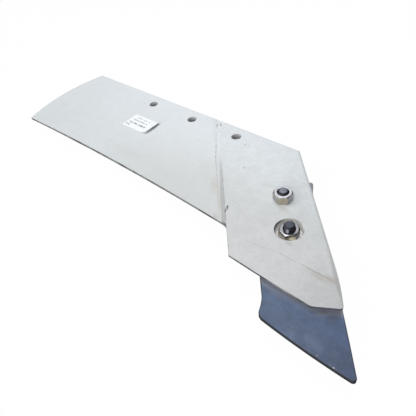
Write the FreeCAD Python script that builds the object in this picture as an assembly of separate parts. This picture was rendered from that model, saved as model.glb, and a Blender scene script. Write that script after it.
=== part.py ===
import FreeCAD, Part
import math
import os

# Plough share with a bolted chisel, in millimetres.
# Origin: centre of the middle share-bolt hole on the back face.
# +X runs along the top edge from heel to nose, +Y towards the top edge, +Z out of the back face.
# The nose plane leans back from the blade about the top edge, and its parts are built flat, then tilted.

# Blade
plate_thickness = 12.0
blade_width = 145.7
blade_taper = 1.4
cutting_edge_hollow = 4.6
edge_thickness = 3.0
blade_bevel_width = 35.0
heel_reach = 230.5
heel_slant = 3.5
heel_bulge = 12.8

# Share-bolt holes
hole_count = 3
hole_pitch = 80.0
hole_edge_distance = 18.0
hole_diameter = 13.0
countersink_diameter = 26.0

# Nose
nose_reach = 164.0
nose_width = 95.4
nose_drop = 31.9
nose_edge_rise = 1.4
nose_edge_bulge = 0.5
nose_lean = 1.95
nose_bevel_width = 16.0
landside_angle = 46.85
landside_curve_radius = 260.0
landside_curve_turn = 9.6
toe_side_rise = 13.9
toe_angle = 31.5
joggle_run = 6.5
joggle_soft_handle = 0.6
joggle_crisp_handle = 0.15
nose_top_radius = 3.0
toe_side_radius = 3.0
toe_edge_radius = 9.0
step_radius = 14.0

# Chisel
chisel_thickness = 16.0
chisel_width = 66.1
chisel_angle = 49.5
chisel_reach = 30.0
chisel_edge_turn = 0.9
chisel_edge_bulge = 1.6
chisel_top_margin = 38.2
chisel_edge_distance = 34.6
chisel_side_bulge = 2.1
chisel_end_flare = 3.7
chisel_end_flare_length = 19.4
chisel_end_flare_radius = 40.0
chisel_flare = 5.8
chisel_flare_length = 24.0
chisel_edge_thickness = 4.5
chisel_bevel_width = 42.0
chisel_corner_radius = 8.5
chisel_end_radius = 4.0
chisel_tip_radius = 3.0
chisel_edge_radius = 1.2

# Chisel bolts and nuts
bolt_diameter = 12.0
bolt_pitch = 45.0
bolt_row_angle = 47.5
lower_bolt_rise = 62.9
lower_bolt_landside_distance = 33.0
upper_bolt_length = 40.0
lower_bolt_length = 35.0
bolt_point_chamfer = 1.2
head_diameter = 24.4
head_land = 1.0
neck_width = 12.0
neck_length = 6.0
neck_clearance = 0.25
head_clearance = 0.3
bolt_hole_diameter = 13.0
nut_width = 19.0
nut_height = 10.0
nut_face_share = 0.95
nut_bevel_angle = 30.0
nut_bore_chamfer = 0.6
thread_clearance = 0.1
upper_nut_turn = 31.0
lower_nut_turn = 41.0

# Nut recess
recess_diameter = 30.0
recess_floor_diameter = 28.0
recess_depth = 9.0
recess_floor_radius = 1.5

# Label
label_length = 50.0
label_width = 28.0
label_thickness = 0.25
label_x = -57.0
label_y = -46.5
label_turn = 1.0
label_lift_length = 13.0
label_lift_radius = 28.0

# Room that cutting shapes reach past the steel, and how near counts as the same place
spare = 20.0
same_place = 0.01

# Derived places
top_y = hole_edge_distance
cut_y = top_y - blade_width
nose_cut_y = cut_y - nose_drop
soil_z = -plate_thickness
chisel_soil_z = soil_z - chisel_thickness
rise_per_drop = math.tan(math.radians(nose_lean))
X_AXIS = FreeCAD.Vector(1, 0, 0)
Z_AXIS = FreeCAD.Vector(0, 0, 1)


def point(x, y, z=0.0):
    return FreeCAD.Vector(x, y, z)


def heading(angle):
    """Unit vector in the plan, with the angle in degrees from +X."""
    turn = math.radians(angle)
    return point(math.cos(turn), math.sin(turn))


def meet(a, a_angle, b, b_angle):
    """Plan point where the line through a at a_angle meets the line through b at b_angle."""
    along_a = heading(a_angle)
    along_b = heading(b_angle)
    cross = along_a.x * along_b.y - along_a.y * along_b.x
    gap = b - a
    distance = (gap.x * along_b.y - gap.y * along_b.x) / cross
    return a + along_a * distance


def tangent_arc(start, angle, radius, turn):
    """Arc that leaves start along angle and bends clockwise; returns its edge and its end."""
    centre = start + heading(angle - 90) * radius
    middle = centre + heading(angle + 90 - turn / 2) * radius
    end = centre + heading(angle + 90 - turn) * radius
    return Part.Arc(start, middle, end).toShape(), end


def prism(edges, low, high):
    """Solid with the plan outline of the edges, from z low to z high."""
    face = Part.Face(Part.Wire(Part.__sortEdges__(edges)))
    face.translate(point(0, 0, low))
    return face.extrude(point(0, 0, high - low))


def outline_lines(points):
    """Straight edges from each point to the next."""
    return [Part.makeLine(a, b) for a, b in zip(points, points[1:])]


def upright_edges(solid, corner):
    """Edges of the solid that stand upright on a plan corner."""
    found = []
    for edge in solid.Edges:
        ends = [vertex.Point for vertex in edge.Vertexes]
        if len(ends) == 2 and all(math.hypot(p.x - corner.x, p.y - corner.y) < same_place for p in ends):
            found.append(edge)
    return found


def round_corners(solid, corners):
    """Round upright corners, each given as a plan point and a radius."""
    for corner, radius in corners:
        solid = solid.makeFillet(radius, upright_edges(solid, corner))
    return solid


def rim_edges(solid, z):
    """Edges of the solid that lie in the level plane at z."""
    found = []
    for edge in solid.Edges:
        box = edge.BoundBox
        if abs(box.ZMin - z) < same_place and abs(box.ZMax - z) < same_place:
            found.append(edge)
    return found


def lean_on_nose(shape):
    """Tilt a shape built flat so that it follows the nose."""
    shape.rotate(point(0, top_y), X_AXIS, -nose_lean)
    return shape


def landside_x(y):
    """X of the nose's straight landside edge at a given y."""
    return nose_reach + (top_y - y) / math.tan(math.radians(landside_angle))


def joggle_x(y):
    """X of the joggle's nose-side line, which runs on down as the step edge."""
    return landside_x(y) - nose_width / math.sin(math.radians(landside_angle))


def bolt_places():
    """Plan places of the upper and lower chisel bolts."""
    lower_y = nose_cut_y + lower_bolt_rise
    inward = lower_bolt_landside_distance / math.sin(math.radians(landside_angle))
    lower = point(landside_x(lower_y) - inward, lower_y)
    upper = lower + heading(180 - bolt_row_angle) * bolt_pitch
    return upper, lower


def joggle_curve(start_x, start_z, end_x, end_z):
    """S-curve in a section: it leaves the blade softly and reaches the nose crisply."""
    run = end_x - start_x
    curve = Part.BezierCurve()
    curve.setPoles([
        point(start_x, 0, start_z),
        point(start_x + run * joggle_soft_handle, 0, start_z),
        point(end_x - run * joggle_crisp_handle, 0, end_z),
        point(end_x, 0, end_z),
    ])
    return curve.toShape()


def plate_section(y):
    """Edges of the plate's closed section across the joggle at one y."""
    rise = rise_per_drop * (top_y - y)
    nose_soil_z = rise - plate_thickness / math.cos(math.radians(nose_lean))
    heel_x = -heel_reach - heel_bulge - spare
    nose_x = landside_x(nose_cut_y) + spare
    flank_end = joggle_x(y)
    flank_start = flank_end - joggle_run / math.sin(math.radians(landside_angle))
    edges = [
        Part.makeLine(point(heel_x, 0, 0), point(flank_start, 0, 0)),
        joggle_curve(flank_start, 0, flank_end, rise),
        Part.makeLine(point(flank_end, 0, rise), point(nose_x, 0, rise)),
        Part.makeLine(point(nose_x, 0, rise), point(nose_x, 0, nose_soil_z)),
        Part.makeLine(point(nose_x, 0, nose_soil_z), point(flank_end, 0, nose_soil_z)),
        joggle_curve(flank_start, soil_z, flank_end, nose_soil_z),
        Part.makeLine(point(flank_start, 0, soil_z), point(heel_x, 0, soil_z)),
        Part.makeLine(point(heel_x, 0, soil_z), point(heel_x, 0, 0)),
    ]
    for edge in edges:
        edge.translate(point(0, y, 0))
    return edges


def side_face(top_edge, low_edge):
    """Face between matching edges of two sections: a plane for straight edges, else a ruled surface."""
    if top_edge.Curve.TypeId != "Part::GeomLine":
        return Part.makeRuledSurface(top_edge, low_edge)
    a, b = [vertex.Point for vertex in top_edge.Vertexes]
    d, c = [vertex.Point for vertex in low_edge.Vertexes]
    return Part.Face(Part.makePolygon([a, b, c, d, a]))


def joggled_slab():
    """Plate of even thickness, flat over the blade and leaning back over the nose."""
    top_edges = plate_section(top_y + spare)
    low_edges = plate_section(nose_cut_y - spare)
    faces = [side_face(top_edge, low_edge) for top_edge, low_edge in zip(top_edges, low_edges)]
    faces += [Part.Face(Part.Wire(edges)) for edges in (top_edges, low_edges)]
    shell = Part.Shell(faces)
    shell.sewShape()
    return Part.Solid(shell)


def share_corners():
    """Plan corners of the share body that the outline and the bevels use."""
    curve_chord = 2 * landside_curve_radius * math.sin(math.radians(landside_curve_turn / 2))
    curve_drop = curve_chord * math.sin(math.radians(landside_angle + landside_curve_turn / 2))
    toe_start_y = nose_cut_y + toe_side_rise + curve_drop
    toe_start = point(landside_x(toe_start_y), toe_start_y)
    curve, toe_side = tangent_arc(toe_start, -landside_angle, landside_curve_radius, landside_curve_turn)
    toe_edge = meet(toe_side, toe_angle, point(0, nose_cut_y), 0)
    step_top_y = cut_y + blade_taper
    step_low_y = nose_cut_y + nose_edge_rise
    return {
        "heel_top": point(-heel_reach, top_y),
        "heel_low": point(-heel_reach + heel_slant, cut_y),
        "step_top": point(joggle_x(step_top_y), step_top_y),
        "step_low": point(joggle_x(step_low_y), step_low_y),
        "toe_edge": toe_edge,
        "toe_side": toe_side,
        "landside_curve": curve,
        "curve_start": toe_start,
        "nose_top": point(nose_reach, top_y),
    }


def share_outline_prism():
    """Plan outline of the share body as an upright prism."""
    at = share_corners()
    heel_middle = (at["heel_top"] + at["heel_low"]) * 0.5 - point(heel_bulge, 0)
    cut_middle = (at["heel_low"] + at["step_top"]) * 0.5 + point(0, cutting_edge_hollow)
    nose_middle = (at["step_low"] + at["toe_edge"]) * 0.5 - point(0, nose_edge_bulge)
    edges = outline_lines([at["step_top"], at["step_low"]]) + outline_lines([at["toe_edge"], at["toe_side"]])
    edges.append(Part.Arc(at["heel_low"], cut_middle, at["step_top"]).toShape())
    edges.append(Part.Arc(at["step_low"], nose_middle, at["toe_edge"]).toShape())
    edges += outline_lines([at["curve_start"], at["nose_top"], at["heel_top"]])
    edges.append(at["landside_curve"])
    edges.append(Part.Arc(at["heel_top"], heel_middle, at["heel_low"]).toShape())
    reach = plate_thickness + rise_per_drop * (top_y - nose_cut_y) + spare
    body = prism(edges, -reach, reach)
    return round_corners(body, [
        (at["step_top"], step_radius),
        (at["toe_edge"], toe_edge_radius),
        (at["toe_side"], toe_side_radius),
        (at["nose_top"], nose_top_radius),
    ])


def soil_bevel(start, end, width, back_z, full, left):
    """Wedge under an edge that runs from start to end with the steel on its left."""
    run = end - start
    slope = (full - left) / width
    outer = -spare
    inner = width + spare
    corners = [
        point(0, outer, back_z - left - slope * outer),
        point(0, inner, back_z - left - slope * inner),
        point(0, outer, back_z - left - slope * inner),
    ]
    wedge = Part.Face(Part.makePolygon(corners + corners[:1]))
    wedge = wedge.extrude(X_AXIS * (run.Length + 2 * spare))
    wedge.translate(X_AXIS * -spare)
    wedge.rotate(point(0, 0), Z_AXIS, math.degrees(math.atan2(run.y, run.x)))
    wedge.translate(start)
    return wedge


def blade_bevel():
    """Bevel under the blade's cutting edge, ending at the joggle."""
    at = share_corners()
    wedge = soil_bevel(at["heel_low"], at["step_top"], blade_bevel_width, 0, plate_thickness, edge_thickness)
    high_y = top_y + spare
    low_y = nose_cut_y - spare
    far_x = landside_x(low_y) + spare
    nose_side = [
        point(joggle_x(high_y), high_y),
        point(joggle_x(low_y), low_y),
        point(far_x, low_y),
        point(far_x, high_y),
    ]
    guard = prism(outline_lines(nose_side + nose_side[:1]), -blade_width, blade_width)
    return wedge.cut(guard)


def nose_bevels():
    """Bevels under the nose's cutting edge and toe, in the tilted nose frame."""
    at = share_corners()
    sizes = (nose_bevel_width, 0, plate_thickness, edge_thickness)
    edge_wedge = soil_bevel(at["step_low"], at["toe_edge"], *sizes)
    toe_wedge = soil_bevel(at["toe_edge"], at["toe_side"], *sizes)
    return [lean_on_nose(edge_wedge), lean_on_nose(toe_wedge)]


def share_bolt_holes():
    """Round holes along the top edge, countersunk from the soil face."""
    sink_depth = (countersink_diameter - hole_diameter) / 2
    tools = []
    for number in range(hole_count):
        x = (number - (hole_count - 1) / 2) * hole_pitch
        hole = Part.makeCylinder(hole_diameter / 2, plate_thickness + 2 * spare, point(x, 0, soil_z - spare))
        low_radius = countersink_diameter / 2 + spare
        sink = Part.makeCone(low_radius, hole_diameter / 2, sink_depth + spare, point(x, 0, soil_z - spare))
        tools += [hole, sink]
    return tools


def nut_recess():
    """Round recess in the nose's back face, slightly tapered, with a rounded floor."""
    lower = bolt_places()[1]
    taper = (recess_diameter - recess_floor_diameter) / 2 / recess_depth
    mouth_radius = recess_diameter / 2 + taper * spare
    floor_radius = recess_floor_diameter / 2
    recess = Part.makeCone(floor_radius, mouth_radius, recess_depth + spare, point(0, 0, -recess_depth))
    recess = recess.makeFillet(recess_floor_radius, rim_edges(recess, -recess_depth))
    recess.translate(lower)
    return lean_on_nose(recess)


def nose_bolt_holes():
    """Clearance holes for the chisel bolts, square to the nose."""
    length = plate_thickness + 2 * spare
    holes = []
    for place in bolt_places():
        hole = Part.makeCylinder(bolt_hole_diameter / 2, length, place + point(0, 0, soil_z - spare))
        holes.append(lean_on_nose(hole))
    return holes


def share_body():
    """Blade and nose, one pressed plate."""
    body = joggled_slab().common(share_outline_prism())
    tools = [blade_bevel()] + nose_bevels() + share_bolt_holes() + nose_bolt_holes() + [nut_recess()]
    return body.cut(tools)


def chisel_corners():
    """Plan corners of the chisel, set from the bolts and the nose's cutting edge."""
    upper, lower = bolt_places()
    along = heading(-chisel_angle)
    outward = heading(90 - chisel_angle)
    row_middle = (upper + lower) * 0.5
    side_point = row_middle + outward * chisel_edge_distance
    end_point = upper - along * chisel_top_margin
    tip = meet(side_point, -chisel_angle, point(0, nose_cut_y - chisel_reach), 0)
    inner_point = side_point - outward * chisel_width
    flare_point = inner_point - outward * chisel_flare
    corner = meet(flare_point, -chisel_angle, tip, -chisel_edge_turn)
    flare_start = corner - along * chisel_flare_length + outward * chisel_flare
    flare_turn = math.degrees(2 * math.atan2(chisel_flare, chisel_flare_length))
    flare_radius = chisel_flare_length / math.sin(math.radians(flare_turn))
    flare_curve, flare_end = tangent_arc(flare_start, -chisel_angle, flare_radius, flare_turn)
    end_side = meet(side_point, -chisel_angle, end_point, 90 - chisel_angle)
    side_start = end_side + along * chisel_end_flare_length
    side_middle = (side_start + tip) * 0.5 + outward * chisel_side_bulge
    return {
        "end_side": end_side + outward * chisel_end_flare,
        "side_start": side_start,
        "side_curve": Part.Arc(side_start, side_middle, tip).toShape(),
        "end_inner": meet(inner_point, -chisel_angle, end_point, 90 - chisel_angle),
        "flare_start": flare_start,
        "flare_curve": flare_curve,
        "corner": flare_end,
        "tip": tip,
    }


def bolt_seat(place):
    """Square hole with a countersink for a bolt head, cut from the chisel's soil face."""
    width = neck_width + 2 * neck_clearance
    square = Part.makeBox(width, width, chisel_thickness + 2 * spare)
    square.translate(point(-width / 2, -width / 2, chisel_soil_z - spare))
    square.rotate(point(0, 0), Z_AXIS, -bolt_row_angle)
    mouth_radius = head_diameter / 2 + head_clearance
    cone_depth = mouth_radius - bolt_diameter / 2
    cone_z = chisel_soil_z + head_land - head_clearance
    cone = Part.makeCone(mouth_radius, bolt_diameter / 2, cone_depth, point(0, 0, cone_z))
    mouth_depth = head_land - head_clearance
    mouth = Part.makeCylinder(mouth_radius, mouth_depth + spare, point(0, 0, chisel_soil_z - spare))
    seat = square.fuse([cone, mouth])
    seat.translate(place)
    return seat


def chisel():
    """Flat bar under the nose with a slanted cutting edge, bevelled on its soil face."""
    at = chisel_corners()
    edges = outline_lines([at["side_start"], at["end_side"], at["end_inner"], at["flare_start"]])
    edge_middle = (at["corner"] + at["tip"]) * 0.5 - point(0, chisel_edge_bulge)
    edges += [at["flare_curve"], Part.Arc(at["corner"], edge_middle, at["tip"]).toShape(), at["side_curve"]]
    bar = prism(edges, chisel_soil_z, soil_z)
    bar = round_corners(bar, [
        (at["corner"], chisel_corner_radius),
        (at["tip"], chisel_tip_radius),
        (at["side_start"], chisel_end_flare_radius),
        (at["end_side"], chisel_end_radius),
        (at["end_inner"], chisel_end_radius),
    ])
    bar = bar.makeFillet(chisel_edge_radius, rim_edges(bar, soil_z))
    sizes = (chisel_bevel_width, soil_z, chisel_thickness, chisel_edge_thickness)
    bevel = soil_bevel(at["corner"], at["tip"], *sizes)
    bar = bar.cut([bevel] + [bolt_seat(place) for place in bolt_places()])
    return lean_on_nose(bar)


def plough_bolt(place, length):
    """Flat countersunk bolt with a square neck, head in the chisel's soil face."""
    head_radius = head_diameter / 2
    shank_radius = bolt_diameter / 2
    cone_depth = head_radius - shank_radius
    profile = [
        point(0, 0, 0),
        point(head_radius, 0, 0),
        point(head_radius, 0, head_land),
        point(shank_radius, 0, head_land + cone_depth),
        point(shank_radius, 0, length - bolt_point_chamfer),
        point(shank_radius - bolt_point_chamfer, 0, length),
        point(0, 0, length),
    ]
    shank = Part.Face(Part.makePolygon(profile + profile[:1])).revolve(point(0, 0), Z_AXIS, 360)
    neck = Part.makeBox(neck_width, neck_width, neck_length + cone_depth / 2)
    neck.translate(point(-neck_width / 2, -neck_width / 2, head_land + cone_depth / 2))
    neck.rotate(point(0, 0), Z_AXIS, -bolt_row_angle)
    bolt = shank.fuse(neck).removeSplitter()
    bolt.translate(place + point(0, 0, chisel_soil_z))
    return lean_on_nose(bolt)


def hex_nut(place, seat_z, turn):
    """Hexagon nut with bevelled corners and a chamfered bore."""
    corner_radius = nut_width / 2 / math.cos(math.radians(30))
    corners = [heading(turn + 60 * number) * corner_radius for number in range(6)]
    block = prism(outline_lines(corners + corners[:1]), 0, nut_height)
    face_radius = nut_width * nut_face_share / 2
    bevel_height = (corner_radius - face_radius) * math.tan(math.radians(nut_bevel_angle))
    envelope = [
        point(0, 0, 0),
        point(face_radius, 0, 0),
        point(corner_radius, 0, bevel_height),
        point(corner_radius, 0, nut_height - bevel_height),
        point(face_radius, 0, nut_height),
        point(0, 0, nut_height),
    ]
    turned = Part.Face(Part.makePolygon(envelope + envelope[:1])).revolve(point(0, 0), Z_AXIS, 360)
    bore_radius = bolt_diameter / 2 + thread_clearance
    wide_radius = bore_radius + nut_bore_chamfer
    bore = Part.makeCylinder(bore_radius, nut_height)
    sink_z = nut_height - nut_bore_chamfer
    sink = Part.makeCone(bore_radius, wide_radius, nut_bore_chamfer, point(0, 0, sink_z))
    nut = block.common(turned).cut([bore, sink])
    nut.translate(place + point(0, 0, seat_z))
    return lean_on_nose(nut)


def label():
    """Paper sticker on the blade, with the end towards the nose curled up."""
    flat_length = label_length - label_lift_length
    lift_angle = label_lift_length / label_lift_radius
    turned = []
    for radius in (label_lift_radius, label_lift_radius - label_thickness):
        places = []
        for angle in (lift_angle / 2, lift_angle):
            height = label_lift_radius - radius * math.cos(angle)
            places.append(point(radius * math.sin(angle), 0, height))
        turned.append(places)
    (low_middle, low_end), (high_middle, high_end) = turned
    low_start = point(0, 0, 0)
    high_start = point(0, 0, label_thickness)
    edges = [
        Part.makeLine(point(-flat_length, 0, 0), low_start),
        Part.Arc(low_start, low_middle, low_end).toShape(),
        Part.makeLine(low_end, high_end),
        Part.Arc(high_end, high_middle, high_start).toShape(),
        Part.makeLine(high_start, point(-flat_length, 0, label_thickness)),
        Part.makeLine(point(-flat_length, 0, label_thickness), point(-flat_length, 0, 0)),
    ]
    sheet = Part.Face(Part.Wire(edges)).extrude(point(0, label_width, 0))
    sheet.translate(point(flat_length - label_length / 2, -label_width / 2, 0))
    sheet.rotate(point(0, 0), Z_AXIS, label_turn)
    sheet.translate(point(label_x, label_y))
    return sheet


def main():
    upper, lower = bolt_places()
    nodes = {
        "share_body": share_body(),
        "chisel": chisel(),
        "upper_bolt": plough_bolt(upper, upper_bolt_length),
        "lower_bolt": plough_bolt(lower, lower_bolt_length),
        "upper_nut": hex_nut(upper, 0, upper_nut_turn),
        "lower_nut": hex_nut(lower, -recess_depth, lower_nut_turn),
        "label": label(),
    }
    os.makedirs("parts", exist_ok=True)
    for name, shape in nodes.items():
        shape.exportStep("parts/" + name + ".step")


main()
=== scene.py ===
import math

import bmesh
import bpy
from mathutils import Matrix, Vector


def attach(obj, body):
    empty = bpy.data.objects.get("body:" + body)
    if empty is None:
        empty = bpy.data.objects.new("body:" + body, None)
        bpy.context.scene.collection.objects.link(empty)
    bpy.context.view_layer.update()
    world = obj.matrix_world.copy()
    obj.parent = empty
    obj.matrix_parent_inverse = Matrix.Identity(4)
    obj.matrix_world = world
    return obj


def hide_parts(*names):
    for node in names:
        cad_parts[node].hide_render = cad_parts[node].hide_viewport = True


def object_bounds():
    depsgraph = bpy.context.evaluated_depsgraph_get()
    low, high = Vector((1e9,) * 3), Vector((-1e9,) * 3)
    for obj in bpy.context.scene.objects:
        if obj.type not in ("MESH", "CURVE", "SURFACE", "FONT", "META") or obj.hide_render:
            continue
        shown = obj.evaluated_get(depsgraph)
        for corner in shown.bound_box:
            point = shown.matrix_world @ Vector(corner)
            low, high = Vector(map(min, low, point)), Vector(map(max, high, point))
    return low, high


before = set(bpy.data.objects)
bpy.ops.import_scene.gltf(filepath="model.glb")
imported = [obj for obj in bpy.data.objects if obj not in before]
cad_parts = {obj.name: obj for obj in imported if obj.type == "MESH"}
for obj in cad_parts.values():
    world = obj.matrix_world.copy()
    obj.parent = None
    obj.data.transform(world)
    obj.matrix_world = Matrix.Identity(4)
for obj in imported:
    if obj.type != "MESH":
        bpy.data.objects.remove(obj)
CAD_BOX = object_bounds()
MM = 0.001

# Camera: place in metres, the direction it looks in and the direction that is up in the picture
CAMERA_PLACE = (0.3799, -0.3297, 0.3200)
CAMERA_FORWARD = (-0.5375, 0.4650, -0.7035)
CAMERA_UP = (-0.4028, 0.5913, 0.6987)

# Lens: sensor width in millimetres, focal length and picture width in pixels, and nearest distance in metres
SENSOR_WIDTH = 36.0
FOCAL_PIXELS = 415
FRAME_PIXELS = 416
NEAREST_SEEN = 0.01

# Light: strengths of the sky as it lights the part and as the camera sees it above the floor's far edge
SKY_STRENGTH = 0.20
SEEN_SKY = 0.97

# Floor: strength of its own glow, and half its width in metres
FLOOR_GLOW = 1.02
FLOOR_REACH = 60

# Soft boxes: name, place, target, width and height in metres, and watts
LIGHT_TARGET = (0.05, -0.06, 0)
SOFT_BOXES = (
    ("front", (0.6, -2.8, 0.95), LIGHT_TARGET, 3.0, 1.5, 58.0),
    ("left", (-0.93, -0.63, 1.13), LIGHT_TARGET, 0.9, 0.9, 6.2),
    ("overhead", (0.1, -0.1, 1.1), LIGHT_TARGET, 0.9, 0.9, 6.2),
    ("back", (-0.02, 0.25, 0.42), (0.05, 0.02, 0), 0.45, 0.45, 0.6))

# Share, in millimetres: the nose leans about the top edge's line; TO_NOSE takes places into its own frame
TOP_Y = 18
NOSE_LEAN = math.radians(1.95)
TO_NOSE = (Matrix.Translation((0, TOP_Y * MM, 0)) @ Matrix.Rotation(NOSE_LEAN, 4, "X")
           @ Matrix.Translation((0, -TOP_Y * MM, 0)))
HEEL_ARC_CENTER = (-27.65, -50.02)
HEEL_ARC_RADIUS = 213.95
LANDSIDE_DEGREES = 46.85
SQUARE_TO_LANDSIDE = (math.sin(math.radians(LANDSIDE_DEGREES)), math.cos(math.radians(LANDSIDE_DEGREES)))

# Joggle, in millimetres: x where its nose-side line meets the top edge, and its run towards the heel
JOGGLE_START_X = 33.2
JOGGLE_RUN = 6.5

# Nose in its own plane, in millimetres: cutting edge's y, a point on the toe and its direction outward
NOSE_CUT_Y = -159.6
TOE_POINT = (288.6, -161.3)
SQUARE_TO_TOE = (0.555, -0.831)

# Chisel bolts in the nose's plane, in millimetres: places, heights of the ends and the ends' linear
# colours, wear with a painted sheen
BOLT_PLACES = {"upper": (195.88, -63.52), "lower": (226.28, -96.70)}
BOLT_ENDS = {"upper": 12.0, "lower": 7.0}
BOLT_END_COLORS = {"upper": (0.26, 0.27, 0.32), "lower": (0.085, 0.095, 0.125)}

# Plan directions of the photo, towards its camera and to its right. The light and shade painted on nuts,
# recess and edges lie by them; they are fixed to the part and don't follow the camera.
NEAR_IN_PHOTO = (0.66, -0.74)
RIGHT_IN_PHOTO = (0.74, 0.66)

# Nut recess, in millimetres: radius, width of the rounded rim, and how far off the rim its edges may lie
RECESS_RADIUS = 15.0
RECESS_RIM = 1.1
RIM_NEAR = 0.3
PLANE_NEAR = 0.1

# M12 thread, in millimetres; its steps are parts of a pitch: crest, flank, root and second flank begin there
THREAD_START = -11.5
THREAD_PITCH = 1.75
THREAD_CREST = 5.94
THREAD_ROOT = 4.93
THREAD_STEPS = (0.0, 0.125, 0.4375, 0.6875, 1.0)
THREAD_RADII = (THREAD_CREST, THREAD_CREST, THREAD_ROOT, THREAD_ROOT, THREAD_CREST)
THREAD_COLUMNS = 64
END_CHAMFER = 1.2

# Nuts: painted light on the top, dimmer on the lower nut, and light painted on the flats that
# face left, to the front and to the right
NUT_TOP_LIGHT = {"upper": 1.0, "lower": 0.6}
NUT_FLATS = {
    "upper": ((170, 168, 165), (192, 184, 168), (168, 166, 168)),
    "lower": ((178, 174, 166), (228, 222, 200), (48, 48, 53))}

# Blots on the paint are soft, ragged ellipses: plan x and y, half length and half width in millimetres, the
# angle in degrees, the strength, and the ragged outline's grain and reach
BLADE_SHADES = (
    (117, -85, 22, 10, -LANDSIDE_DEGREES, 0.75, 90, 6),
    (92, -72, 40, 22, -LANDSIDE_DEGREES, 0.2, 60, 8),
    (151, -124, 9, 4.5, -LANDSIDE_DEGREES, 1.0, 90, 5))
BLADE_STAINS = ((-20, -100.0, 60, 16, 6, 0.25, 30, 20),)
NOSE_STAINS = (
    (170, -55.0, 17, 5.0, 14, 0.5, 90, 8),
    (203, -104.0, 16, 5.0, -10, 0.5, 90, 8))
NOSE_SMUDGES = (
    (279, -129.8, 17, 4.0, -1, 0.55, 110, 6),
    (290, -126.0, 10, 5.0, -4, 0.75, 140, 4),
    (204, -76.0, 14, 5.0, -4, 0.42, 110, 6),
    (236, -112.0, 9, 4.0, -2, 0.5, 110, 5))
CHISEL_DIRT = ((298, -151.5, 8, 4.0, 32, 0.8, 120, 3),)
CHISEL_BLOTCHES = (
    (308, -151.5, 9.0, 5.5, 30, 0.65, 120, 4),
    (292, -156.5, 5.0, 3.0, 30, 0.35, 120, 2))
CHISEL_LIGHT_PATCH = ((309, -182, 16, 8, -10, 0.5, 60, 6),)
CHISEL_BLUE_PATCH = ((317, -164, 17, 9, -10, 0.6, 60, 6),)

# Strokes on the paint taper at both ends: two plan points and width in millimetres, softness and strength
TOP_EDGE_DASHES = (
    (38.1, 11.8, 44.1, 2.3, 2.2, 0.8, 0.85),
    (39.8, 14.4, 48.8, 7.0, 2.2, 0.8, 0.85))
JOGGLE_TICK = (
    (152.5, -104.0, 158.5, -113.0, 3.2, 0.7, 1.0),
    (155.0, -110.0, 159.5, -118.5, 2.8, 0.8, 1.0))
JOGGLE_FOOT = ((159.0, -119.5, 168.5, -131.0, 6.0, 0.9, 0.6),)
NOSE_LINE = (
    (190.0, -135.8, 240.0, -127.4, 1.8, 0.8, 0.28),
    (224.0, -129.4, 266.0, -126.0, 1.8, 0.8, 0.35),
    (248.0, -126.6, 305.0, -127.0, 2.2, 0.8, 0.75))
# A faint darker line across the blade
BLADE_FAINT_LINE = ((-68.5, -64.0, -62.0, -116.0, 1.7, 0.8, 0.6),)
UNDER_STICKER = ((-33.0, -27.5, -31.8, -61.5, 5.0, 0.7, 0.8),)
NOSE_SPECK_STROKE = ((126.0, -44.3, 131.5, -45.8, 2.2, 0.8, 0.75),)
CHISEL_DIRT_LINE = ((243, -163, 268, -160.5, 5, 1.0, 0.35),)
CHISEL_RUBBED_PLACE = ((296, -181, 303, -182.5, 5, 0.9, 0.2),)
CHISEL_RUBBED_LINE = ((318, -187.5, 336, -190.5, 1.6, 0.9, 0.2),)

# Spots are ellipses: plan x and y, half length and half width in millimetres, angle in degrees and softness
JOGGLE_DIRT = (138, -101, 36, 5.0, -LANDSIDE_DEGREES, 0.9)
NOSE_SPECK = (100.9, -8.3, 1.8, 1.2, 20, 0.8)
BLADE_SPECK = (-94.5, -6.0, 1.4, 1.0, 0, 0.8)
CHISEL_FLECKS = ((329.2, -189.2, 1.1, 0.8, 0, 0.6), (314.1, -188.6, 0.7, 0.5, 0, 0.6))
BOLT_STREAK = (228.0, -102.7, 1.9, 4.2, 41.7, 0.9)

# Sticker's filler rows, in millimetres: left and right end, y, half height, strength and the part left blank
STICKER_ROWS = (
    (-72.8, -47.0, -38.0, 1.1, 0.60, 0.46),
    (-76.5, -47.0, -43.6, 1.2, 0.65, 0.45),
    (-78.5, -44.5, -50.6, 1.5, 0.85, 0.44),
    (-79.5, -70.0, -56.2, 1.3, 0.75, 0.42))

# Softened edges: widths in millimetres, least angles in degrees that count as an edge, and the angle below
# which faces count as flat
SHARE_EDGE = 0.5
CHISEL_EDGE = 0.8
FASTENER_EDGE = 0.25
SHARP_DEGREES = 30.0
NUT_SHARP_DEGREES = 12.0
FLAT_DEGREES = 0.2

# Distances in metres below which points are joined, on the solids and on the thread
SAME_POINT = 2e-6
THREAD_POINT = 1e-6


# Camera, floor and lights

def aim(thing, forward, up):
    """Turn an object so that it looks along forward, with up nearest its own Y."""
    forward = Vector(forward).normalized()
    right = forward.cross(Vector(up)).normalized()
    upright = right.cross(forward)
    turn = Matrix((right, upright, -forward)).transposed()
    thing.matrix_world = Matrix.Translation(thing.location) @ turn.to_4x4()


def add_to_scene(name, data):
    thing = bpy.data.objects.new(name, data)
    bpy.context.scene.collection.objects.link(thing)
    return thing


def make_camera():
    data = bpy.data.cameras.new("camera")
    data.sensor_width = SENSOR_WIDTH
    data.lens = SENSOR_WIDTH * FOCAL_PIXELS / FRAME_PIXELS
    data.clip_start = NEAREST_SEEN
    camera = add_to_scene("camera", data)
    camera.location = CAMERA_PLACE
    aim(camera, CAMERA_FORWARD, CAMERA_UP)
    bpy.context.scene.camera = camera


def make_floor():
    """Floor at the height of the part's lowest point; its glow doesn't light the part."""
    low = CAD_BOX[0].z
    reach = FLOOR_REACH
    mesh = bpy.data.meshes.new("floor")
    corners = [(-reach, -reach, low), (reach, -reach, low), (reach, reach, low), (-reach, reach, low)]
    mesh.from_pydata(corners, [], [(0, 1, 2, 3)])
    floor = add_to_scene("floor", mesh)
    floor.data.materials.append(floor_white())
    floor.visible_diffuse = False
    floor.visible_glossy = False


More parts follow.
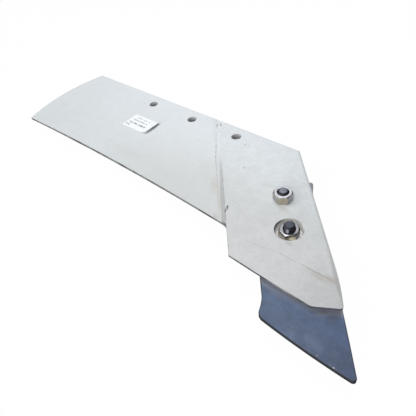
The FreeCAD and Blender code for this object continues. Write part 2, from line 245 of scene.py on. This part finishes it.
def make_sky():
    """Weak white sky that looks as pale as the floor to the camera alone."""
    world = bpy.data.worlds.new("world")
    bpy.context.scene.world = world
    world.use_nodes = True
    nodes = world.node_tree.nodes
    background = nodes["Background"]
    background.inputs["Color"].default_value = (1, 1, 1, 1)
    strength = nodes.new("ShaderNodeMapRange")
    strength.inputs["To Min"].default_value = SKY_STRENGTH
    strength.inputs["To Max"].default_value = SEEN_SKY
    to_camera = nodes.new("ShaderNodeLightPath").outputs["Is Camera Ray"]
    world.node_tree.links.new(to_camera, strength.inputs["Value"])
    world.node_tree.links.new(strength.outputs["Result"], background.inputs["Strength"])


def make_soft_box(name, place, target, width, height, power):
    data = bpy.data.lights.new(name, "AREA")
    data.shape = "RECTANGLE"
    data.size = width
    data.size_y = height
    data.energy = power
    light = add_to_scene(name, data)
    light.location = place
    aim(light, Vector(target) - Vector(place), (0, 0, 1))


# Materials

def srgb(red, green, blue):
    """Linear colour from screen values between 11 and 255."""
    return tuple(((value / 255 + 0.055) / 1.055) ** 2.4 for value in (red, green, blue))


class Shade:
    """A Principled material in the making; its methods return sockets, and its masks run from 0 to 1."""

    def __init__(self, name):
        self.material = bpy.data.materials.new(name)
        self.material.use_nodes = True
        self.tree = self.material.node_tree
        self.shader = self.tree.nodes["Principled BSDF"]
        coordinates = self.tree.nodes.new("ShaderNodeTexCoord")
        self.place = coordinates.outputs["Object"]
        turned = {"Vector": self.place, "Location": TO_NOSE.translation, "Rotation": (NOSE_LEAN, 0, 0)}
        self.on_nose = self.node("ShaderNodeMapping", turned, vector_type="POINT").outputs[0]
        self.x, self.y = self.parts(self.place)[:2]
        self.nose_x, self.nose_y, self.nose_z = self.parts(self.on_nose)
        self.normal_x, self.normal_y, self.facing = self.parts(coordinates.outputs["Normal"])
        self.level = self.absolute(self.facing)
        self.top = self.span(self.facing, 0.55, 0.9)
        self.rightward = self.along(self.normal_x, self.normal_y, RIGHT_IN_PHOTO)

    def node(self, kind, inputs=(), **settings):
        made = self.tree.nodes.new(kind)
        for name, value in settings.items():
            setattr(made, name, value)
        for socket, value in dict(inputs).items():
            self.feed(made.inputs[socket], value)
        return made

    def feed(self, socket, value):
        if isinstance(value, bpy.types.NodeSocket):
            self.tree.links.new(value, socket)
        elif value is not None:
            socket.default_value = value

    def compute(self, operation, a, b=None):
        return self.node("ShaderNodeMath", {0: a, 1: b}, operation=operation).outputs[0]

    def add(self, a, b):
        return self.compute("ADD", a, b)

    def subtract(self, a, b):
        return self.compute("SUBTRACT", a, b)

    def absolute(self, value):
        return self.compute("ABSOLUTE", value)

    def product(self, first, *others):
        for other in others:
            first = self.compute("MULTIPLY", first, other)
        return first

    def union(self, first, *others):
        """Largest of several masks."""
        for other in others:
            first = self.compute("MAXIMUM", first, other)
        return first

    def span(self, value, low, high, out_low=0.0, out_high=1.0, smooth=True):
        """Value mapped from low and high to two outputs, and held there beyond them."""
        inputs = {"Value": value, "From Min": low, "From Max": high, "To Min": out_low, "To Max": out_high}
        kind = "SMOOTHSTEP" if smooth else "LINEAR"
        return self.node("ShaderNodeMapRange", inputs, interpolation_type=kind).outputs["Result"]

    def ramp(self, length, low, high, out_low=0.0, out_high=1.0, smooth=True):
        """The same for a length, with low and high in millimetres."""
        return self.span(length, low * MM, high * MM, out_low, out_high, smooth)

    def outside(self, mask):
        return self.span(mask, 1, 0)

    def vector(self, operation, a, b=None, scale=None):
        made = self.node("ShaderNodeVectorMath", {0: a, 1: b}, operation=operation)
        if scale is not None:
            self.feed(made.inputs["Scale"], scale)
        return made.outputs["Value" if operation == "LENGTH" else "Vector"]

    def parts(self, vector):
        return tuple(self.node("ShaderNodeSeparateXYZ", {0: vector}).outputs)

    def along(self, x, y, direction):
        """How far x and y reach along a plan direction."""
        return self.add(self.product(x, direction[0]), self.product(y, direction[1]))

    def noise(self, scale, detail=3.0, roughness=0.55, vector=None, distortion=0.0, color=False):
        inputs = {"Vector": vector or self.place, "Scale": scale, "Detail": detail,
                  "Roughness": roughness, "Distortion": distortion}
        return self.node("ShaderNodeTexNoise", inputs).outputs["Color" if color else "Fac"]

    def wander(self, place, grain, reach):
        """Place pushed about by noise, in millimetres, so that masks get ragged outlines."""
        push = self.vector("SUBTRACT", self.noise(grain, 3, 0.6, color=True), (0.5, 0.5, 0.5))
        return self.vector("ADD", place, self.vector("SCALE", push, scale=reach * MM))

    def spot(self, place, x, y, long, wide, angle=0.0, soft=0.5):
        """Mask of an ellipse in the plan, in millimetres and degrees."""
        inputs = {"Vector": place, "Location": (x * MM, y * MM, 0),
                  "Rotation": (0, 0, math.radians(angle)), "Scale": (long * MM, wide * MM, 10)}
        local = self.node("ShaderNodeMapping", inputs, vector_type="TEXTURE").outputs[0]
        return self.span(self.vector("LENGTH", local), 1.0, 1.0 - soft)

    def blots(self, place, rows):
        """Mask of soft, ragged ellipses."""
        masks = []
        for x, y, long, wide, angle, strength, grain, reach in rows:
            ragged = self.wander(place, grain, reach)
            masks.append(self.product(self.spot(ragged, x, y, long, wide, angle, 1.0), strength))
        return self.union(*masks)

    def strokes(self, place, rows):
        """Mask of straight strokes."""
        masks = []
        for x0, y0, x1, y1, width, soft, strength in rows:
            long = math.hypot(x1 - x0, y1 - y0) / 2
            angle = math.degrees(math.atan2(y1 - y0, x1 - x0))
            mask = self.spot(place, (x0 + x1) / 2, (y0 + y1) / 2, long, width / 2, angle, soft)
            masks.append(self.product(mask, strength))
        return self.union(*masks)

    def mix(self, a, b, factor):
        """Colour a where factor is 0, b where it is 1."""
        made = self.node("ShaderNodeMix", {"Factor": factor}, data_type="RGBA")
        for socket, value in ((made.inputs[6], a), (made.inputs[7], b)):
            self.feed(socket, value if isinstance(value, bpy.types.NodeSocket) else (*value, 1.0))
        return made.outputs[2]

    def lay(self, color, shade, *masks):
        """Colour with a screen colour laid over it where all the masks meet."""
        return self.mix(color, srgb(*shade), self.product(*masks))

    def lay_on_top(self, color, shade, *masks):
        """The same, only on faces that look up."""
        return self.lay(color, shade, *masks, self.top)

    def tone(self, color, factor):
        """Colour made brighter or darker by a factor."""
        return self.vector("SCALE", color, scale=factor)

    def dim(self, color, level, mask):
        """Colour toned to a level where the mask is 1."""
        return self.tone(color, self.span(mask, 0, 1, 1.0, level))

    def bump(self, height, strength, distance):
        """Uneven surface, with the distance in millimetres."""
        inputs = {"Height": height, "Strength": strength, "Distance": distance * MM}
        self.feed(self.shader.inputs["Normal"], self.node("ShaderNodeBump", inputs).outputs[0])

    def finish(self, color, roughness, **fixed):
        """The material, with its colour and roughness joined and other sockets set to plain values."""
        self.feed(self.shader.inputs["Base Color"], color)
        self.feed(self.shader.inputs["Roughness"], roughness)
        for name, value in fixed.items():
            self.shader.inputs[name.replace("_", " ")].default_value = value
        return self.material


def plate_ground(s):
    """Pale grey paint, palest at the top edge and heel and darker at landside and toe, partly as painted
    shade.
    """
    # The fall from the top edge and heel down the nose is partly painted light falloff
    low = s.mix(srgb(210, 215, 218), srgb(203, 207, 207), s.ramp(s.x, -100, 60))
    color = s.mix(srgb(216, 221, 225), low, s.ramp(s.nose_y, 0, -125))
    color = s.lay(color, (204, 206, 207), s.ramp(s.nose_y, -60, -120), s.ramp(s.x, 120, 190))
    # Darker towards the landside, along its edge and at the toe: partly painted shade
    land = s.along(s.x, s.y, SQUARE_TO_LANDSIDE)
    color = s.tone(color, s.ramp(land, 98, 130, 1.0, 0.955))
    bent_land = s.add(land, s.ramp(s.nose_y, -95, -125, 0.0, 2.2 * MM))
    color = s.tone(color, s.ramp(bent_land, 128.6, 131.6, 1.0, 0.74))
    toe_fade = s.product(s.ramp(s.x, 235, 300), s.ramp(s.nose_y, -95, -150))
    color = s.dim(color, 0.87, toe_fade)

    # Clouds, fine grain, a mottle that is stronger on the nose, and faint streaks
    color = s.tone(color, s.span(s.noise(8, 4, 0.6), 0.3, 0.7, 0.985, 1.015))
    color = s.tone(color, s.span(s.noise(340, 3, 0.6), 0.25, 0.75, 0.985, 1.015))
    mottle = s.span(s.noise(75, 3, 0.65, vector=s.wander(s.place, 40, 8)), 0.32, 0.68, -1.0, 1.0)
    specked = s.span(s.noise(300, 2, 0.6), 0.3, 0.7, -0.8, 0.8)
    unevenness = s.span(s.ramp(land, 30, 50), 0, 1, 0.012, 0.029)
    color = s.tone(color, s.add(s.product(s.add(mottle, specked), unevenness), 1.0))
    streaks = s.noise(26, 4, 0.65, vector=s.vector("MULTIPLY", s.place, (1.0, 3.2, 1.0)))
    return s.lay(color, (196, 200, 201), s.span(streaks, 0.56, 0.8), 0.35)


def joggle_masks(s):
    """The joggle's flank, the flank's blade half, the faint line beside it, which bends towards the nose near
    the top edge, the crisp line on its nose side, and y."""
    x, y = s.parts(s.wander(s.place, 90, 0.8))[:2]
    start = JOGGLE_START_X * SQUARE_TO_LANDSIDE[0] + TOP_Y * SQUARE_TO_LANDSIDE[1]
    across = s.subtract(s.along(x, y, SQUARE_TO_LANDSIDE), start * MM)
    flank = s.product(s.ramp(across, -JOGGLE_RUN - 1, -JOGGLE_RUN + 3), s.ramp(across, 0.6, -0.4))
    blade_half = s.product(s.ramp(across, -8, -6), s.ramp(across, -1.5, -4))
    bend = s.ramp(y, -47, 3, 0.0, 4.5 * MM, smooth=False)
    blade_line = s.ramp(s.absolute(s.subtract(s.add(across, 6.8 * MM), bend)), 1.1, 0.2)
    nose_line = s.ramp(s.absolute(s.subtract(across, 0.1 * MM)), 0.9, 0.25)
    return flank, blade_half, blade_line, nose_line, y


def paint_joggle(s, color):
    """Painted shade on and beside the flank, dark gritty lines along its bends, and brown dirt on it."""
    flank, blade_half, blade_line, nose_line, y = joggle_masks(s)
    grit = s.span(s.noise(160, 3, 0.6), 0.42, 0.58)
    # Painted shade on the flank's blade half, and a faint brownish painted shade on the flank
    color = s.dim(color, 0.94, blade_half)
    color = s.lay_on_top(color, (180, 177, 172), flank, s.ramp(y, -40, -95, 0.0, 0.15))
    # Dark lines along both bends: partly dirt and partly painted shade of the bends
    blade_line = s.product(blade_line, s.span(grit, 0, 1, 0.3, 1.0), s.ramp(y, -80, -62, 0.15, 0.6))
    color = s.lay_on_top(color, (158, 157, 156), blade_line, s.ramp(y, -12, -34, 0.4, 1.0))
    nose_line = s.product(nose_line, s.span(grit, 0, 1, 0.55, 1.0), s.ramp(y, -44, -62, 0.04, 0.5))
    color = s.lay_on_top(color, (120, 118, 118), nose_line)
    brown = s.spot(s.wander(s.place, 120, 6), *JOGGLE_DIRT)
    color = s.lay_on_top(color, (182, 176, 169), brown, 0.4)
    # Painted shade on the blade beside the flank
    return s.lay_on_top(color, (193, 191, 188), s.blots(s.place, BLADE_SHADES))


def paint_marks(s, color):
    """Handling marks, smudges and stains on the back face, and shade under the sticker's lifted edge."""
    ragged = s.wander(s.place, 420, 1.6)
    nose_ragged = s.wander(s.on_nose, 420, 1.6)
    specks = s.union(
        s.strokes(nose_ragged, NOSE_SPECK_STROKE),
        s.product(s.spot(nose_ragged, *NOSE_SPECK), 0.75),
        s.product(s.spot(ragged, *BLADE_SPECK), 0.75))
    stains = s.union(s.blots(s.on_nose, NOSE_STAINS), s.blots(s.place, BLADE_STAINS))
    for shade, mask in (
            ((108, 110, 113), s.strokes(ragged, TOP_EDGE_DASHES)),
            ((140, 141, 143), specks),
            ((110, 112, 114), s.strokes(nose_ragged, JOGGLE_TICK)),
            ((186, 182, 172), s.strokes(s.wander(s.on_nose, 150, 3), JOGGLE_FOOT)),
            ((160, 152, 144), s.strokes(s.wander(s.on_nose, 60, 3), NOSE_LINE)),
            ((171, 167, 160), s.blots(s.on_nose, NOSE_SMUDGES)),
            ((196, 198, 197), stains),
            ((188, 190, 188), s.strokes(s.wander(s.place, 70, 2.5), BLADE_FAINT_LINE)),
            ((112, 114, 118), s.strokes(ragged, UNDER_STICKER))):
        color = s.lay_on_top(color, shade, mask)
    return color


def paint_recess(s, color, recess):
    """Recess floor and wall painted paler against its shade, with stains and a painted crescent of shade."""
    deep = s.product(s.ramp(s.nose_z, -0.2, -0.9), recess)
    # Painted light: the floor and wall of the recess made near white against the shade in it
    color = s.lay(color, (250, 250, 249), deep)
    color = s.lay(color, (184, 181, 173), deep, s.span(s.noise(120, 4, 0.6), 0.5, 0.75, 0.0, 0.35))
    # Painted shade: a crescent on the wall, near the rim and on the heel side
    upper_wall = s.product(s.span(s.rightward, -0.6, 0.85), recess, s.ramp(s.nose_z, -4.5, -2.5))
    heel_wall = s.product(s.span(s.rightward, 0.45, 0.9), recess, s.ramp(s.nose_z, -7.5, -4.0), 0.6)
    steep = s.span(s.facing, 0.99, 0.9)
    return s.lay(color, (86, 87, 90), s.union(upper_wall, heel_wall), steep, 0.9)


def paint_edges(s, color, upright, outside):
    """Cut edges: thinner paint over dull steel, with bare spots; rounded edges a little darker, with painted
    shade where they turn to the right, along the heel's rim and on the toe's edge; paler bolt hole walls."""
    rounded = s.span(s.level, 0.985, 0.80)
    color = s.mix(color, s.tone(color, 0.72), s.product(rounded, outside))
    # Painted shade where rounded edges turn to the right
    turned = s.product(s.span(s.facing, 0.998, 0.95), s.span(s.rightward, 0.02, 0.15))
    color = s.mix(color, s.tone(color, 0.5), s.product(turned, outside))
    # Painted shade in a band along the heel's rounded rim
    heel_radius = HEEL_ARC_RADIUS + 0.3
    inside_heel = s.spot(s.place, *HEEL_ARC_CENTER, heel_radius, heel_radius, 0, 0.014)
    heel_rim = s.product(s.outside(inside_heel), s.ramp(s.x, -150, -190))
    color = s.lay_on_top(color, (138, 134, 131), heel_rim, s.ramp(s.y, -85, -28, 0.14, 0.42))

    in_holes = s.product(s.ramp(s.absolute(s.nose_y), 11, 9), s.ramp(s.absolute(s.x), 95, 90))
    bare_spots = s.product(s.span(s.noise(170, 4, 0.7), 0.45, 0.7), 0.7)
    patches = s.union(s.span(s.noise(24, 3, 0.6), 0.42, 0.62), bare_spots)
    edge = s.mix(srgb(152, 153, 154), srgb(92, 91, 91), patches)
    edge = s.lay(edge, (190, 192, 193), in_holes)
    color = s.mix(color, edge, s.product(upright, outside))
    # Painted shade on the toe's edge
    toe = s.product(s.ramp(s.nose_x, 284, 288), s.ramp(s.nose_y, -143, -147))
    return s.lay(color, (86, 89, 98), s.span(s.level, 0.97, 0.7), toe, 0.9)


def share_paint():
    s = Shade("share_paint")
    upright = s.span(s.level, 0.55, 0.25)
    rim_radius = RECESS_RADIUS + RECESS_RIM + 0.3
    recess = s.spot(s.on_nose, *BOLT_PLACES["lower"], rim_radius, rim_radius, 0, 0.02)
    color = plate_ground(s)
    color = paint_joggle(s, color)
    color = paint_marks(s, color)
    color = paint_recess(s, color, recess)
    color = paint_edges(s, color, upright, s.outside(recess))
    s.bump(s.add(s.product(s.noise(70, 3), 0.6), s.product(s.noise(700, 2), 0.16)), 0.25, 0.25)
    gloss = s.span(s.noise(36, 3), 0.3, 0.7, 0.50, 0.60)
    return s.finish(color, s.add(gloss, s.product(upright, 0.2)), Specular_IOR_Level=0.28)


def chisel_ground(s):
    """Blue-grey paint in uneven coats, darker towards the point."""
    cloud = s.noise(26, 5, 0.6, vector=s.wander(s.place, 30, 9))
    color = s.mix(srgb(71, 88, 115), srgb(83, 101, 129), s.span(cloud, 0.3, 0.7))
    color = s.lay(color, (60, 74, 104), s.ramp(s.nose_x, 285, 345), 0.75)
    color = s.lay(color, (92, 101, 118), s.span(s.noise(60, 5, 0.7, distortion=0.6), 0.54, 0.72), 0.4)
    color = s.tone(color, s.span(s.noise(420, 3, 0.6), 0.25, 0.75, 0.91, 1.09))
    mottle = s.noise(85, 4, 0.65, vector=s.wander(s.place, 45, 12), distortion=0.5)
    return s.tone(color, s.span(mottle, 0.32, 0.68, 0.87, 1.13))


def paint_beside_nose(s, color):
    """Coat made paler beside and under the nose, against the shadow there, and a dull strip by its edge."""
    from_toe_x = s.subtract(s.nose_x, TOE_POINT[0] * MM)
    from_toe_y = s.subtract(s.nose_y, TOE_POINT[1] * MM)
    past_toe = s.along(from_toe_x, from_toe_y, SQUARE_TO_TOE)
    beside = s.union(s.subtract(NOSE_CUT_Y * MM, s.nose_y), past_toe)
    color = s.lay_on_top(color, (98, 104, 120), s.ramp(beside, 7, -1), 0.5)
    paler = s.add(s.ramp(beside, 14, 2, 1.0, 1.32), s.ramp(beside, 4, -2, 0.0, 0.75))
    color = s.mix(color, s.tone(color, paler), s.top)
    slant = s.product(s.subtract(s.nose_x, 238 * MM), 0.0525)
    strip_y = s.subtract(s.parts(s.wander(s.on_nose, 140, 1.6))[1], slant)
    strip = s.ramp(strip_y, -161.5, -157.4)
    # The dull strip's colour is painted paler too, against the nose's shadow
    return s.lay_on_top(color, (160, 164, 178), strip, s.ramp(past_toe, 1, -3), 0.9)


def paint_chisel_marks(s, color):
    """Dirt and blotches below the nose, a lighter and a bluer patch, rubbed places and two flecks."""
    dirt_line = s.strokes(s.wander(s.on_nose, 120, 3), CHISEL_DIRT_LINE)
    color = s.lay_on_top(color, (146, 143, 154), s.union(s.blots(s.on_nose, CHISEL_DIRT), dirt_line))
    color = s.lay_on_top(color, (92, 100, 120), s.blots(s.on_nose, CHISEL_BLOTCHES))
    color = s.lay_on_top(color, (101, 115, 140), s.blots(s.on_nose, CHISEL_LIGHT_PATCH))
    color = s.lay_on_top(color, (76, 96, 134), s.blots(s.on_nose, CHISEL_BLUE_PATCH))
    rubbed = s.union(
        s.strokes(s.wander(s.on_nose, 200, 3), CHISEL_RUBBED_PLACE),
        s.strokes(s.wander(s.on_nose, 260, 1.5), CHISEL_RUBBED_LINE))
    color = s.lay_on_top(color, (120, 126, 138), rubbed)
    ragged = s.wander(s.on_nose, 140, 1.6)
    flecks = s.union(*[s.spot(ragged, *fleck) for fleck in CHISEL_FLECKS])
    return s.lay_on_top(color, (190, 190, 192), flecks, 0.8)


def chisel_paint():
    s = Shade("chisel_paint")
    color = chisel_ground(s)
    color = paint_beside_nose(s, color)
    color = paint_chisel_marks(s, color)

    # Upright faces: dark, thin paint; the end that peeks out is painted pale against the shade on it, with
    # grit
    upright = s.span(s.level, 0.985, 0.8)
    color = s.lay(color, (36, 38, 47), upright, 0.95)
    grit = s.span(s.noise(240, 4, 0.6), 0.3, 0.6, 0.6, 1.0)
    color = s.lay(color, (196, 192, 190), s.ramp(s.nose_y, -80, -74), grit, upright, 0.9)

    s.bump(s.add(s.product(s.noise(55, 4), 0.9), s.product(s.noise(600, 2), 0.12)), 0.3, 0.35)
    return s.finish(color, s.span(s.noise(70, 3), 0.3, 0.7, 0.42, 0.56))


def bolt_steel(which):
    """Dark bolt, its end with wear and a painted sheen; a painted glint low on the lower bolt's thread."""
    s = Shade(which + "_bolt_steel")
    color = s.mix(srgb(42, 43, 50), srgb(70, 71, 82), s.span(s.noise(420, 4, 0.6), 0.35, 0.7))
    end = s.spot(s.on_nose, *BOLT_PLACES[which], 4.9, 4.9, 0, 0.35)
    rubbed = s.span(s.noise(300, 3, 0.6), 0.3, 0.6, 0.55, 1.0)
    wear_and_sheen = s.product(end, s.span(s.facing, 0.95, 0.99), rubbed)
    # Wear on the end, with a painted sheen
    color = s.mix(color, BOLT_END_COLORS[which], wear_and_sheen)
    if which == "lower":
        streak = s.spot(s.on_nose, *BOLT_STREAK)
        color = s.lay(color, (206, 206, 218), streak, s.ramp(s.nose_z, 5.0, 3.6), 0.85)
    color = s.lay(color, (74, 62, 54), s.span(s.noise(260, 4, 0.7), 0.62, 0.8), 0.5)
    s.bump(s.noise(900, 3), 0.3, 0.08)
    return s.finish(color, s.span(s.noise(800), 0.3, 0.7, 0.30, 0.44), Metallic=0.75)


def nut_flats(s, which, dull):
    """Painted light on a nut's flats, by the way they face; the lower nut's are shaded at top and left."""
    left, front, right = (srgb(*shade) for shade in NUT_FLATS[which])
    flats = s.mix(front, left, s.span(s.rightward, -0.35, -0.65))
    flats = s.mix(flats, right, s.span(s.rightward, 0.35, 0.65))
    flats = s.dim(flats, 0.75, dull)
    if which == "lower":
        flats = s.tone(flats, s.ramp(s.nose_z, -2.4, -0.8, 1.0, 0.35))
        bolt_x, bolt_y = BOLT_PLACES[which]
        from_bolt = s.subtract(s.nose_x, bolt_x * MM), s.subtract(s.nose_y, bolt_y * MM)
        to_left = s.ramp(s.along(*from_bolt, RIGHT_IN_PHOTO), 0.5, -2.5)
        flats = s.dim(flats, 0.4, s.product(to_left, s.span(s.absolute(s.rightward), 0.45, 0.3)))
    return flats


def nut_zinc(which):
    """Bright nut with dull specks; painted shade in its bore, painted light on its top and chamfers."""
    s = Shade(which + "_nut_zinc")
    shine = s.mix(srgb(196, 196, 204), srgb(220, 220, 229), s.span(s.noise(240, 3), 0.3, 0.7))
    nearward = s.along(s.normal_x, s.normal_y, NEAR_IN_PHOTO)
    if which == "upper":
        soft_light = s.span(nearward, 0.05, 0.3, 1.0, 0.5)
    else:
        soft_light = s.span(s.add(nearward, s.rightward), 0.25, 0.45, 0.9, 0.3)
    # Painted light on the chamfers and on the top, dimmer on the lower nut
    color = s.mix(s.tone(shine, soft_light), s.tone(shine, NUT_TOP_LIGHT[which]), s.span(s.facing, 0.94, 0.98))
    dull = s.span(s.noise(180, 4, 0.7), 0.55, 0.75)
    color = s.lay(color, (150, 142, 128), dull, 0.35)
    color = s.mix(color, nut_flats(s, which, dull), s.span(s.facing, 0.5, 0.3))
    # Painted shade in and round the bore, where the bolt meets the nut
    color = s.dim(color, 0.3, s.spot(s.on_nose, *BOLT_PLACES[which], 7.0, 7.0, 0, 0.08))
    s.bump(s.noise(700, 3), 0.25, 0.06)
    return s.finish(color, s.span(s.noise(500), 0.3, 0.7, 0.20, 0.32), Metallic=1.0)


def label_paper():
    """White paper with rows of broken grey bars, as plain filler."""
    s = Shade("label_paper")
    color = s.mix(srgb(238, 242, 246), srgb(243, 246, 249), s.noise(160))
    dash = s.noise(620, 1.5, 0.5, vector=s.vector("MULTIPLY", s.place, (1.0, 0.18, 0.0)))
    for left, right, y, tall, strength, blank in STICKER_ROWS:
        band = s.ramp(s.absolute(s.subtract(s.y, y * MM)), tall + 0.25, tall - 0.25)
        reach = s.product(s.ramp(s.x, left - 0.4, left + 0.4), s.ramp(s.x, right + 0.4, right - 0.4))
        color = s.lay(color, (120, 124, 132), band, reach, s.span(dash, blank, blank + 0.05), strength)
    s.bump(s.noise(300, 3), 0.15, 0.1)
    return s.finish(color, 0.6)


def floor_white():
    """White floor that glows by itself, with a soft shade that shows through the plate's holes."""
    s = Shade("floor_white")
    color = s.mix(srgb(250, 250, 250), srgb(251, 251, 251), s.noise(3))
    land = s.along(s.x, s.y, SQUARE_TO_LANDSIDE)
    across = s.product(s.ramp(s.y, -100, -70), s.ramp(s.y, 40, 20))
    along = s.product(s.ramp(s.x, -230, -195), s.ramp(land, 118, 92))
    color = s.dim(color, 0.3, s.product(across, along))
    s.feed(s.shader.inputs["Emission Color"], color)
    return s.finish(s.tone(color, 0.02), 1.0, Emission_Strength=FLOOR_GLOW, Specular_IOR_Level=0.0)


# Pieces made from the CAD solids' own meshes, with softened edges

def open_copy(node, name):
    """Copy of a node's mesh, and the same as an open shape with its points joined."""
    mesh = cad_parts[node].data.copy()
    mesh.name = name
    shape = bmesh.new()
    shape.from_mesh(mesh)
    bmesh.ops.remove_doubles(shape, verts=shape.verts, dist=SAME_POINT)
    return mesh, shape


def merge_flat_faces(shape):
    least = math.radians(FLAT_DEGREES)
    bmesh.ops.dissolve_limit(shape, angle_limit=least, verts=shape.verts, edges=shape.edges)


def sharp_edges(shape, degrees):
    least = math.radians(degrees)
    return [e for e in shape.edges if len(e.link_faces) == 2 and e.calc_face_angle() > least]


def round_edges(shape, edges, width, segments=2):
    bmesh.ops.bevel(shape, geom=edges, offset=width * MM, offset_type="OFFSET", segments=segments,
                    profile=0.5, affect="EDGES", clamp_overlap=True)


def as_piece(shape, mesh, name):
    """Object from a finished shape, smooth with weighted normals."""
    for face in shape.faces:
        face.smooth = True
    shape.to_mesh(mesh)
    shape.free()
    mesh.materials.clear()
    piece = add_to_scene(name, mesh)
    weigh = piece.modifiers.new("weigh", "WEIGHTED_NORMAL")
    weigh.keep_sharp = True
    weigh.weight = 100
    return piece


def on_recess_rim(edge):
    """Whether an edge lies on the nut recess's rim, on the nose's back face."""
    middle_x, middle_y = BOLT_PLACES["lower"]
    for vertex in edge.verts:
        place = TO_NOSE @ vertex.co / MM
        away = math.hypot(place.x - middle_x, place.y - middle_y)
        if abs(place.z) > PLANE_NEAR or abs(away - RECESS_RADIUS) > RIM_NEAR:
            return False
    return True


def softened(node, name, width, sharp=SHARP_DEGREES, rim_width=None):
    """Piece with a node's form whose sharp edges are rounded, the recess's rim by a width of its own."""
    mesh, shape = open_copy(node, name)
    merge_flat_faces(shape)
    if rim_width:
        round_edges(shape, [e for e in shape.edges if on_recess_rim(e)], rim_width, segments=4)
    round_edges(shape, sharp_edges(shape, sharp), width)
    return as_piece(shape, mesh, name)


def thread_radius(phase):
    """Radius of the thread at a phase of its pitch."""
    for step in range(len(THREAD_STEPS) - 1):
        start, end = THREAD_STEPS[step:step + 2]
        low, high = THREAD_RADII[step:step + 2]
        if phase <= end:
            return low + (high - low) * (phase - start) / (end - start)


def thread_grid(shape, which):
    """Columns of points round a bolt's thread, each from its start to its end, in the nose's frame."""
    x, y = BOLT_PLACES[which]
    end = BOLT_ENDS[which]
    turns = math.ceil((end - THREAD_START) / THREAD_PITCH) + 2
    grid = []
    for column in range(THREAD_COLUMNS):
        around = column / THREAD_COLUMNS
        angle = 2 * math.pi * around
        line = []
        for turn in range(turns):
            for step in THREAD_STEPS[:-1]:
                free_z = THREAD_START + THREAD_PITCH * (turn + step + around - 1)
                z = min(max(free_z, THREAD_START), end)
                phase = (step + (z - free_z) / THREAD_PITCH) % 1.0
                radius = min(thread_radius(phase), THREAD_CREST - END_CHAMFER + (end - z))
                if z < THREAD_START + THREAD_PITCH:
                    plain = 1 - (z - THREAD_START) / THREAD_PITCH
                    radius += (THREAD_CREST - radius) * plain
                place = (x + radius * math.cos(angle), y + radius * math.sin(angle), z)
                line.append(shape.verts.new([length * MM for length in place]))
        grid.append(line)
    return grid


def skin_thread(shape, grid):
    """Faces between neighbouring columns; the last column joins the first one a pitch further on."""
    rows = len(grid[0])
    for column, here in enumerate(grid):
        last = column + 1 == len(grid)
        there = grid[0] if last else grid[column + 1]
        shift = len(THREAD_STEPS) - 1 if last else 0
        for row in range(rows - 1 - shift):
            low, high = row + shift, row + 1 + shift
            shape.faces.new((here[row], there[low], there[high], here[row + 1]))
    points = [vertex for line in grid for vertex in line]
    bmesh.ops.remove_doubles(shape, verts=points, dist=THREAD_POINT)
    bmesh.ops.dissolve_degenerate(shape, dist=THREAD_POINT, edges=shape.edges)


def threaded_bolt(which, name):
    """The CAD bolt with a helical thread in place of its plain shank, one closed mesh."""
    mesh, shape = open_copy(which + "_bolt", name)
    shape.transform(TO_NOSE)
    start = THREAD_START * MM
    bmesh.ops.bisect_plane(shape, geom=shape.verts[:] + shape.edges[:] + shape.faces[:],
                           plane_co=(0, 0, start), plane_no=(0, 0, 1), clear_outer=True)
    merge_flat_faces(shape)
    round_edges(shape, sharp_edges(shape, SHARP_DEGREES), FASTENER_EDGE)
    shank = [e for e in shape.edges if e.is_boundary]
    skin_thread(shape, thread_grid(shape, which))

    # Close the thread's end with a face, and join its start to the shank that is left
    known = set(shank)
    open_edges = [e for e in shape.edges if e.is_boundary and e not in known]
    end = BOLT_ENDS[which] * MM
    low = [e for e in open_edges if all(abs(v.co.z - start) < THREAD_POINT for v in e.verts)]
    high = [e for e in open_edges if all(abs(v.co.z - end) < THREAD_POINT for v in e.verts)]
    bmesh.ops.contextual_create(shape, geom=high)
    bmesh.ops.bridge_loops(shape, edges=[e for e in shank if e.is_valid] + low)
    bmesh.ops.recalc_face_normals(shape, faces=shape.faces)
    shape.transform(TO_NOSE.inverted())
    return as_piece(shape, mesh, name)


def dress(piece, node, material):
    piece.data.materials.append(material)
    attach(piece, "root")
    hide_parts(node)


make_camera()
make_floor()
make_sky()
for soft_box in SOFT_BOXES:
    make_soft_box(*soft_box)
bpy.context.scene.view_settings.view_transform = "Standard"

share = softened("share_body", "share", SHARE_EDGE, rim_width=RECESS_RIM)
dress(share, "share_body", share_paint())
dress(softened("chisel", "chisel_bar", CHISEL_EDGE), "chisel", chisel_paint())
for which in ("upper", "lower"):
    bolt = threaded_bolt(which, which + "_threaded_bolt")
    dress(bolt, which + "_bolt", bolt_steel(which))
    nut = softened(which + "_nut", which + "_hex_nut", FASTENER_EDGE, NUT_SHARP_DEGREES)
    dress(nut, which + "_nut", nut_zinc(which))
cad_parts["label"].data.materials.clear()
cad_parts["label"].data.materials.append(label_paper())
